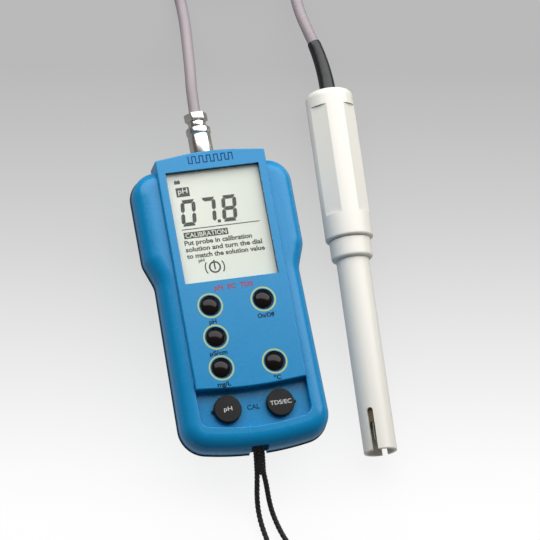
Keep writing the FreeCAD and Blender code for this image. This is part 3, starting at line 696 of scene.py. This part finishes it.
def add_cords():
    """The lead as one cord from the meter through its coil to the probe, and the wrist strap's loop."""
    route = METER_LEAD + coil_points() + PROBE_LEAD[::-1]
    lead = add_piece("lead", smooth_route("lead", route, LEAD_D / 2, 7), "root", LEAD_GREY)
    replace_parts(lead, "lead_meter_side", "lead_coil", "lead_probe_side")
    line = line_of(STRAP_LOOP)
    mesh = braid("strap_cord", line, Vector((1, 0, 0)), STRAP_D / 2, STRAP_D / 2, 0.36, 4, 9.0, 0.75)
    strap = add_piece("strap_cord", mesh, "root", STRAP_BLACK)
    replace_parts(strap, "strap_loop")


# ---------------------------------------------------------------- connector, boot, tie and strap end
CLAMP_START = 56.6
CLAMP_RADIUS = 5.8
CLAMP_LENGTH = 4


def connector_pieces():
    """The plug in the meter's end, its coupling nut, and the hexagonal nut that clamps the lead."""
    plug = soften(lathe([
        (0, 44), (2.7, 44), (2.7, 38.6), (3.4, 38.6), (3.4, 44.6), (4.35, 44.6), (4.35, 47), (3.6, 47),
        (3.6, 53.6), (4.3, 53.6), (4.3, 56.7), (0, 56.7)]), 0.12)
    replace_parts(settle(plug, "connector_plug", "root", NICKEL, connector_place()), "plug_body")
    nut = lathe([
        (4.5, 38.3), (5.25, 38.3), (5.6, 38.65), (5.6, 48.9), (5.3, 49.2), (5.3, 49.7), (5.65, 49.85),
        (5.95, 50.2), (5.95, 52.8), (5.35, 53.4), (3.75, 53.4), (3.75, 47.2), (4.5, 47.2), (4.5, 38.3)], 96)
    soften(nut, 0.1, 2, 20)
    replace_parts(settle(nut, "coupling_nut_turned", "coupling_nut", NICKEL, connector_place()),
                "coupling_nut")
    hexagon = bmesh.new()
    bmesh.ops.create_circle(hexagon, cap_ends=True, radius=CLAMP_RADIUS, segments=6)
    grown = bmesh.ops.extrude_face_region(hexagon, geom=hexagon.faces[:])
    top = [item for item in grown["geom"] if isinstance(item, bmesh.types.BMVert)]
    bmesh.ops.translate(hexagon, vec=(0, 0, CLAMP_LENGTH), verts=top)
    lid = [face for face in hexagon.faces if all(vertex.co.z > CLAMP_LENGTH - 0.1 for vertex in face.verts)]
    bmesh.ops.inset_region(hexagon, faces=lid, thickness=1.5)
    bmesh.ops.translate(hexagon, vec=(0, 0, -0.5), verts=lid[0].verts)
    soften(hexagon, 0.45, 3)
    flat_up = Matrix.Rotation(math.radians(30), 4, "Z")
    place = connector_place() @ Matrix.Translation((0, 0, CLAMP_START)) @ flat_up
    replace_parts(settle(hexagon, "clamp_nut_hex", "root", NICKEL, place), "clamp_nut")


BOOT_BEND = math.radians(16.0)
BOOT_LENGTH = 27.0
BOOT_RADIUS = 3.95
BOOT_TAPER = 0.18
BOOT_LIP = 0.96  # the share of its length past which the boot's end rounds off


def boot_pieces():
    """A tapered rubber boot that bends away from the probe's end, and the washer round its foot."""
    swing = BOOT_LENGTH / BOOT_BEND
    boot = bmesh.new()
    bmesh.ops.create_circle(boot, cap_ends=True, radius=BOOT_RADIUS, segments=40)
    bmesh.ops.spin(boot, geom=boot.verts[:] + boot.edges[:] + boot.faces[:], cent=(-swing, 0, 0),
                   axis=(0, -1, 0), angle=BOOT_BEND, steps=36)
    for vertex in boot.verts:
        turn = math.atan2(vertex.co.z, vertex.co.x + swing)
        middle_line = Vector((-swing + swing * math.cos(turn), 0, swing * math.sin(turn)))
        share = turn / BOOT_BEND
        slim = 1 - BOOT_TAPER * share - max(0.0, share - BOOT_LIP) * 1.6
        vertex.co = middle_line + (vertex.co - middle_line) * slim
    place = probe_place() @ Matrix.Translation((0, 0, PROBE_LENGTH))
    foot = bmesh.new()
    bmesh.ops.create_cone(foot, cap_ends=True, segments=40, radius1=5, radius2=5, depth=2,
                          matrix=Matrix.Translation((0, 0, -4)))
    bmesh.ops.create_cone(foot, cap_ends=True, segments=40, radius1=3.65, radius2=3.65, depth=5,
                          matrix=Matrix.Translation((0, 0, -2.5)))
    join_mesh(boot, foot, "foot")
    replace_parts(settle(boot, "boot", "root", BOOT_BLACK, place), "strain_relief")
    washer = soften(lathe([(4, 0), (4.85, 0), (4.85, 0.8), (4, 0.8), (4, 0)]), 0.25, 3)
    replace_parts(settle(washer, "boot_washer", "root", RING_GREY, place), "boot_ring")


# millimetres: the tie's middle past the coil's centre, its width, and the band's size round the turns
TIE_REACH = 27.9
TIE_WIDTH = 9
TIE_HALF_ROUND = 9.1
TIE_MIDDLE_Z = 5.75
TIE_HALF_HIGH = 5.3
TIE_THICK = 0.45


def squared(value):
    """Pushes a cosine or sine outwards, so a circle becomes a rounded box."""
    return math.copysign(abs(value) ** 0.35, value)


def lead_tie():
    """A hook-and-loop band round all the turns of the wound lead, narrower on top."""
    tie = bmesh.new()
    bmesh.ops.create_circle(tie, cap_ends=False, radius=1, segments=48)
    for vertex in tie.verts:
        angle = math.atan2(vertex.co.y, vertex.co.x)
        top = 0.78 if math.sin(angle) > 0 else 1.0
        wide = TIE_HALF_ROUND * squared(math.cos(angle)) * top
        high = TIE_MIDDLE_Z + TIE_HALF_HIGH * squared(math.sin(angle))
        vertex.co = (-TIE_WIDTH / 2, wide, high)
    grown = bmesh.ops.extrude_edge_only(tie, edges=tie.edges[:])
    far = [item for item in grown["geom"] if isinstance(item, bmesh.types.BMVert)]
    bmesh.ops.translate(tie, vec=(TIE_WIDTH, 0, 0), verts=far)
    bmesh.ops.recalc_face_normals(tie, faces=tie.faces)
    bmesh.ops.solidify(tie, geom=tie.faces[:], thickness=-TIE_THICK)
    soften(tie, 0.15, 1, 60)
    tab = bmesh.new()
    bar(tab, -4.2, 4.2, -3, 5.4, 11.2, 11.65)
    soften(tab, 0.2, 1, 60)
    join_mesh(tie, tab, "tab")
    place = Matrix.Translation(mm(COIL_CENTRE[0], COIL_CENTRE[1] + TIE_REACH, 0)) @ UNIT
    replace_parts(settle(tie, "lead_tie", "root", TIE_BLACK, place), "coil_tie")


def strap_end():
    """The strap's sewn end, a flat braid that comes out of the slot over the bar."""
    low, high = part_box("strap_sleeve")
    start = Vector(((low.x + high.x) / 2, high.y, high.z)) - mm(0.4, 0.6, 1.5)
    end = mm(-20.25, -93.3, 15.1)
    line = [start.lerp(end, n / 40) for n in range(41)]
    mesh = braid("strap_end", line, Vector((1, 0, 0)), 2.95, 1.5, 0.46, 7, 13.0, 0.5)
    sleeve = add_piece("strap_end", mesh, "root", STRAP_BLACK)
    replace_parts(sleeve, "strap_sleeve")


# ---------------------------------------------------------------- buttons and knobs
BUTTONS = [
    ("button_ph", -13.0, -40.0), ("button_power", 13.0, -40.0), ("button_conductivity", -13.0, -55.7),
    ("button_dissolved_solids", -13.0, -71.0), ("button_temperature", 13.0, -71.0),
]


def button(name, x, y):
    """A domed cap on a straight skirt, flanged under the panel, with its printed ring and a black rubber ring
    in its well that is painted shade of the gap round the cap.
    """
    radius, edge, top = 4.2, -0.75, 1.0
    sag = top - edge
    ball = (radius ** 2 + sag ** 2) / (2 * sag)
    rim = math.degrees(math.acos(radius / ball))
    dome = arc((0, top - ball), ball, rim, 90, 14)
    cap = lathe([(0, -5.1), (1.9, -5.1), (1.9, -3.5), (5.2, -3.5), (5.2, -2.7), (4.2, -2.7)] + dome, 72)
    soften(cap, 0.22, 3, 25)
    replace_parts(settle(cap, name + "_cap", name, BUTTON_BLACK, face_place(x, y), 50), name)
    ring = lathe([(5.5, -0.02), (6.15, -0.02), (6.15, 0.03), (5.5, 0.03), (5.5, -0.02)], 96)
    settle(ring, name + "_ring", "root", RING_PRINT, face_place(x, y))
    # painted shade: a black ring in the well darkens the gap between the cap and the panel
    well_shade = lathe([(4.45, -1.1), (5.05, -1.1), (5.05, -0.7), (4.75, -0.95), (4.45, -1.0), (4.45, -1.1)], 96)
    settle(well_shade, name + "_well_shade", "root", SEAL_BLACK, face_place(x, y))


KNOB_X = 12.9
KNOB_Y = -90.5
KNOB_STEPS = 180
KNURL_DEPTH = 0.22


def knob(name, side, text, width):
    """A charcoal knob: knurled edge, bevelled top, pointer on its outer side."""
    radius, top, skirt = 6.7, -2.6, -5.3
    turned = lathe([(0, -9.6), (3, -9.6), (3, skirt), (radius, skirt), (radius, top - 0.55),
                    (radius - 0.12, top - 0.3), (radius - 0.45, top - 0.04), (radius - 0.9, top), (0, top)],
                   KNOB_STEPS)
    for vertex in turned.verts:
        around = math.hypot(vertex.co.x, vertex.co.y)
        step = round(math.degrees(math.atan2(vertex.co.y, vertex.co.x)) * KNOB_STEPS / 360)
        if around > radius - 0.05 and step % 3 == 0:
            vertex.co.x *= 1 - KNURL_DEPTH / radius
            vertex.co.y *= 1 - KNURL_DEPTH / radius
    pointer = bmesh.new()
    bar(pointer, radius - 0.6, radius + 1.05, -0.62, 0.62, skirt, -3.5)
    for vertex in pointer.verts:
        if vertex.co.x > radius and vertex.co.z > -4:
            vertex.co.z -= 0.5
            vertex.co.y *= 0.7
    soften(pointer, 0.12, 2)
    if side < 0:
        bmesh.ops.rotate(pointer, cent=(0, 0, 0), matrix=Matrix.Rotation(math.pi, 3, "Z"),
                         verts=pointer.verts)
    join_mesh(turned, pointer, "pointer")
    place = face_place(side * KNOB_X, KNOB_Y)
    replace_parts(settle(turned, name + "_cap", name, KNOB_GREY, place, 28), name)
    lettering(name + "_print", [(text, width, 2.0, 0, -1.0, top - 0.01)], name, KNOB_PRINT,
              place, 0.005)


# ---------------------------------------------------------------- display
GLASS_TOP = -3.0
INK = 0.04
DIGIT_HIGH = 13.2
DIGIT_WIDE = 7.3
DIGIT_INK = 0.05
SEGMENT = 1.9
SLANT = math.tan(math.radians(6.0))
SEGMENTS = {"0": "abcdef", "7": "abc", "8": "abcdefg"}
DIAL = (-7.3, -21.7)
SHADE_STRIP_WIDTH = 1.25


def segment(bm, start, end, top=False, bottom=False):
    """One six-sided bar of a digit; a top or bottom one is widened along its outer side."""
    (x0, y0), (x1, y1) = start, end
    half = SEGMENT / 2
    gap = 0.1
    if y0 == y1:
        x0, x1 = x0 + gap, x1 - gap
        corners = [(x0, y0), (x0 + half, y0 + half), (x1 - half, y0 + half), (x1, y0),
                   (x1 - half, y0 - half), (x0 + half, y0 - half)]
        if top:
            corners[1], corners[2] = (x0 - half * 0.5, y0 + half), (x1 + half * 0.5, y0 + half)
        if bottom:
            corners[4], corners[5] = (x1 + half * 0.5, y0 - half), (x0 - half * 0.5, y0 - half)
    else:
        y0, y1 = y0 + gap, y1 - gap
        corners = [(x0, y0), (x0 + half, y0 + half), (x0 + half, y1 - half), (x0, y1),
                   (x0 - half, y1 - half), (x0 - half, y0 + half)]
    plate(bm, [(x + y * SLANT, y) for x, y in corners], 0, DIGIT_INK)


def digit(bm, figure, x, y):
    """A seven-segment figure with its lower left corner at (x, y)."""
    half = SEGMENT / 2
    left, right = half, DIGIT_WIDE - half
    low, mid, high = half, DIGIT_HIGH / 2, DIGIT_HIGH - half
    bars = {
        "a": ((left, high), (right, high), True), "b": ((right, mid), (right, high)),
        "c": ((right, low), (right, mid)), "d": ((left, low), (right, low), False, True),
        "e": ((left, low), (left, mid)), "f": ((left, mid), (left, high)), "g": ((left, mid), (right, mid)),
    }
    first = len(bm.verts)
    for name in SEGMENTS[figure]:
        segment(bm, *bars[name])
    bm.verts.ensure_lookup_table()
    bmesh.ops.translate(bm, vec=(x, y, 0), verts=bm.verts[first:])


def display_pieces():
    """The reading, the battery and pH marks, the calibration message, and a dark strip of painted shade round
    the display's edge.
    """
    place = face_place(0.6, 1.2, GLASS_TOP)
    digits = bmesh.new()
    for figure, x in (("0", -19.6), ("7", -9.7), ("8", 0.5)):
        digit(digits, figure, x, 0.0)
    bar(digits, -1.9, -0.35, 0.0, 1.5, 0, DIGIT_INK)
    settle(digits, "display_digits", "root", SEGMENT_BLACK, place)
    marks = bmesh.new()
    for x0, x1, y0, y1 in ((-19.5, -13.0, 14.9, 19.5), (-19.5, 2.2, -6.25, -3.05), (-20.0, 18.4, -1.8, -1.35),
                           (-19.65, -16.75, 21.4, 23.0), (-19.15, -18.65, 22.95, 23.45),
                           (-17.75, -17.25, 22.95, 23.45)):
        bar(marks, x0, x1, y0, y1, 0, INK)
    band(marks, DIAL, 2.95, 2.15, 0, 360, 0, INK)
    for side in (0, 180):
        band(marks, DIAL, 4.95, 4.35, side - 36, side + 36, 0, INK, 16)
    bar(marks, DIAL[0] - 0.35, DIAL[0] + 0.35, DIAL[1] - 1.2, DIAL[1] + 3.6, 0, 0.045)
    settle(marks, "display_marks", "root", SEGMENT_BLACK, place)
    # painted shade: a dark strip round the glass, where the window's frame shades the display's edge
    edge_shade = bmesh.new()
    for low in (-24.2, 22.95):
        bar(edge_shade, low, low + SHADE_STRIP_WIDTH, -29.2, 29.2, 0, 0.06)
    for low in (-29.2, 27.95):
        bar(edge_shade, -22.95, 22.95, low, low + SHADE_STRIP_WIDTH, 0, 0.06)
    settle(edge_shade, "display_edge_shade", "root", SEAL_BLACK, face_place(0, 0, GLASS_TOP))
    lettering("display_words", [
        ("Put probe in calibration", 33.2, 2.25, -3.3, -9.4, 0),
        ("solution and turn the dial", 37.6, 2.25, -1.1, -12.75, 0),
        ("to match the solution value", 38.3, 2.25, -0.75, -16.1, 0), ("pH", 3.0, 1.55, -13.2, -18.4, 0),
    ], "root", SEGMENT_BLACK, place, 0.045)
    lettering("display_light_words", [
        ("pH", 4.6, 2.5, -16.25, 16.5, INK), ("CALIBRATION", 20.2, 2.2, -8.65, -5.75, INK),
    ], "root", SEGMENT_PALE, place, 0.01)


# ---------------------------------------------------------------- printing, and an engraved line's painted shade
PRINT_SINK = -0.01
SIGNAL_STEPS = 12
SIGNAL_PITCH = 1.8
SIGNAL_HALF_LINE = 0.26
SIGNAL_LOW = 31.0
SIGNAL_HIGH = 34.8


def panel_prints():
    """The labels on the panel, a square-wave line above the display painted dark as the shade of an engraved
    groove, and the arrow on the battery door.
    """
    lettering("button_labels", [
        ("pH", 3.6, 2.1, -13.1, -49.0, PRINT_SINK), ("On/Off", 8.3, 2.1, 13.0, -49.0, PRINT_SINK),
        ("µS/cm", 8.6, 2.1, -13.1, -64.5, PRINT_SINK), ("mg/L", 6.6, 2.1, -13.1, -80.0, PRINT_SINK),
        ("°C", 3.6, 2.1, 13.0, -80.0, PRINT_SINK),
    ], "root", LABEL_PRINT, face_place())
    lettering("calibration_label", [("CAL", 6.2, 2.3, 0, -91.6, -5.61)], "root", MARK_AND_GROOVE_SHADE_BLUE,
              face_place())
    lettering("function_label", [("pH  EC  TDS", 18.9, 2.3, 0, -32.7, PRINT_SINK)], "root",
              RED_PRINT, face_place())
    # painted shade: dark blue strips stand for the shade inside a groove engraved in the panel
    marks = bmesh.new()
    half = SIGNAL_HALF_LINE
    for n in range(SIGNAL_STEPS + 1):
        x = (n - SIGNAL_STEPS / 2) * SIGNAL_PITCH
        bar(marks, x - half, x + half, SIGNAL_LOW, SIGNAL_HIGH, -0.02, 0.04)
        if n < SIGNAL_STEPS:
            y = SIGNAL_HIGH - half if n % 2 else SIGNAL_LOW + half
            bar(marks, x, x + SIGNAL_PITCH, y - half, y + half, -0.02, 0.045)
    settle(marks, "panel_signal_groove_shade", "root", MARK_AND_GROOVE_SHADE_BLUE, face_place())
    arrow = bmesh.new()
    plate(arrow, [(-4, 0), (4, 0), (0, -5)], 0, 0.25)
    bar(arrow, -1.2, 1.2, 0, 4, 0, 0.25)
    soften(arrow, 0.08, 1)
    settle(arrow, "door_arrow", "battery_door", BATTERY_PRINT, back_place(0, -70))


for name, x, y in BUTTONS:
    button(name, x, y)
knob("knob_ph", -1, "pH", 4.0)
knob("knob_conductivity", 1, "TDS/EC", 10.4)
display_pieces()
panel_prints()
connector_pieces()
boot_pieces()
lead_tie()
strap_end()
add_cords()


# ---------------------------------------------------------------- floor and light
# painted light: the paper is painted darker away from the front, along FLOOR_AWAY from FLOOR_NEAR to
# FLOOR_FAR metres
FLOOR_LIGHT_FALLOFF = [(0.0, 182), (0.055, 182), (0.16, 190), (0.3, 202), (0.41, 213), (0.51, 224), (0.61, 234),
               (0.71, 243), (0.81, 251), (0.9, 255), (1.0, 255)]
FLOOR_AWAY = (0.1216, 0.9493)
FLOOR_FAR = 0.1246
FLOOR_NEAR = -0.1336
# how brightly the paper glows with painted light, though it is no lamp, and how much of that it casts on the
# object
FLOOR_GLOW = 0.9
FLOOR_CAST = 0.45


def add_stage():
    """A sheet of pale paper under everything, clear from below, glowing with painted light and painted darker
    away from the front.
    """
    bpy.ops.mesh.primitive_plane_add(size=8, location=(0, 0, -0.5 * MM))
    floor = bpy.context.object
    floor.name = "floor"
    material, tree, shader, place = new_material("floor_paper")
    split = tree.nodes.new("ShaderNodeSeparateXYZ")
    tree.links.new(place, split.inputs[0])
    along = maths(tree, "ADD", maths(tree, "MULTIPLY", split.outputs["X"], FLOOR_AWAY[0]),
                  maths(tree, "MULTIPLY", split.outputs["Y"], FLOOR_AWAY[1]))
    share = spread(tree, along, FLOOR_FAR, FLOOR_NEAR)
    ramp = tree.nodes.new("ShaderNodeValToRGB")
    stops = ramp.color_ramp.elements
    for stop, (position, tone) in zip(stops, (FLOOR_LIGHT_FALLOFF[0], FLOOR_LIGHT_FALLOFF[-1])):
        stop.position, stop.color = position, colour(tone, tone, tone)
    for position, tone in FLOOR_LIGHT_FALLOFF[1:-1]:
        stops.new(position).color = colour(tone, tone, tone)
    tree.links.new(share, ramp.inputs["Fac"])
    seen = tree.nodes.new("ShaderNodeLightPath").outputs["Is Camera Ray"]
    dark = colour(0, 0, 0)
    tree.links.new(blended(tree, 0.12, dark, ramp.outputs["Color"]), shader.inputs["Base Color"])
    cast = blended(tree, FLOOR_CAST, dark, ramp.outputs["Color"])
    tree.links.new(blended(tree, seen, cast, ramp.outputs["Color"]), shader.inputs["Emission Color"])
    shader.inputs["Emission Strength"].default_value = FLOOR_GLOW
    shader.inputs["Roughness"].default_value = 0.9
    shader.inputs["Specular IOR Level"].default_value = 0.0
    clear_below = tree.nodes.new("ShaderNodeMixShader")
    tree.links.new(tree.nodes.new("ShaderNodeNewGeometry").outputs["Backfacing"], clear_below.inputs["Fac"])
    tree.links.new(shader.outputs["BSDF"], clear_below.inputs[1])
    tree.links.new(tree.nodes.new("ShaderNodeBsdfTransparent").outputs["BSDF"], clear_below.inputs[2])
    tree.links.new(clear_below.outputs["Shader"], tree.nodes["Material Output"].inputs["Surface"])
    floor.data.materials.append(material)


def area_light(name, place, size, power):
    """A soft lamp that faces the meter's middle and isn't seen itself."""
    light = bpy.data.lights.new(name, "AREA")
    light.shape = "RECTANGLE"
    light.size, light.size_y = size
    light.energy = power
    lamp = bpy.data.objects.new(name, light)
    lamp.location = place
    lamp.visible_camera = False
    lamp.rotation_euler = (Vector((0, 0, 0.02)) - Vector(place)).to_track_quat("-Z", "Y").to_euler()
    bpy.context.collection.objects.link(lamp)


def add_light():
    """One softbox high behind the meter's connector end, and a dim even surround."""
    world = bpy.data.worlds.new("studio")
    world.use_nodes = True
    world.node_tree.nodes["Background"].inputs["Color"].default_value = (1, 1, 1, 1)
    world.node_tree.nodes["Background"].inputs["Strength"].default_value = 0.1
    bpy.context.scene.world = world
    area_light("softbox", (0.12, 0.46, 0.49), (2.0, 0.8), 14)
    bpy.context.scene.view_settings.view_transform = "Standard"


add_stage()
add_light()
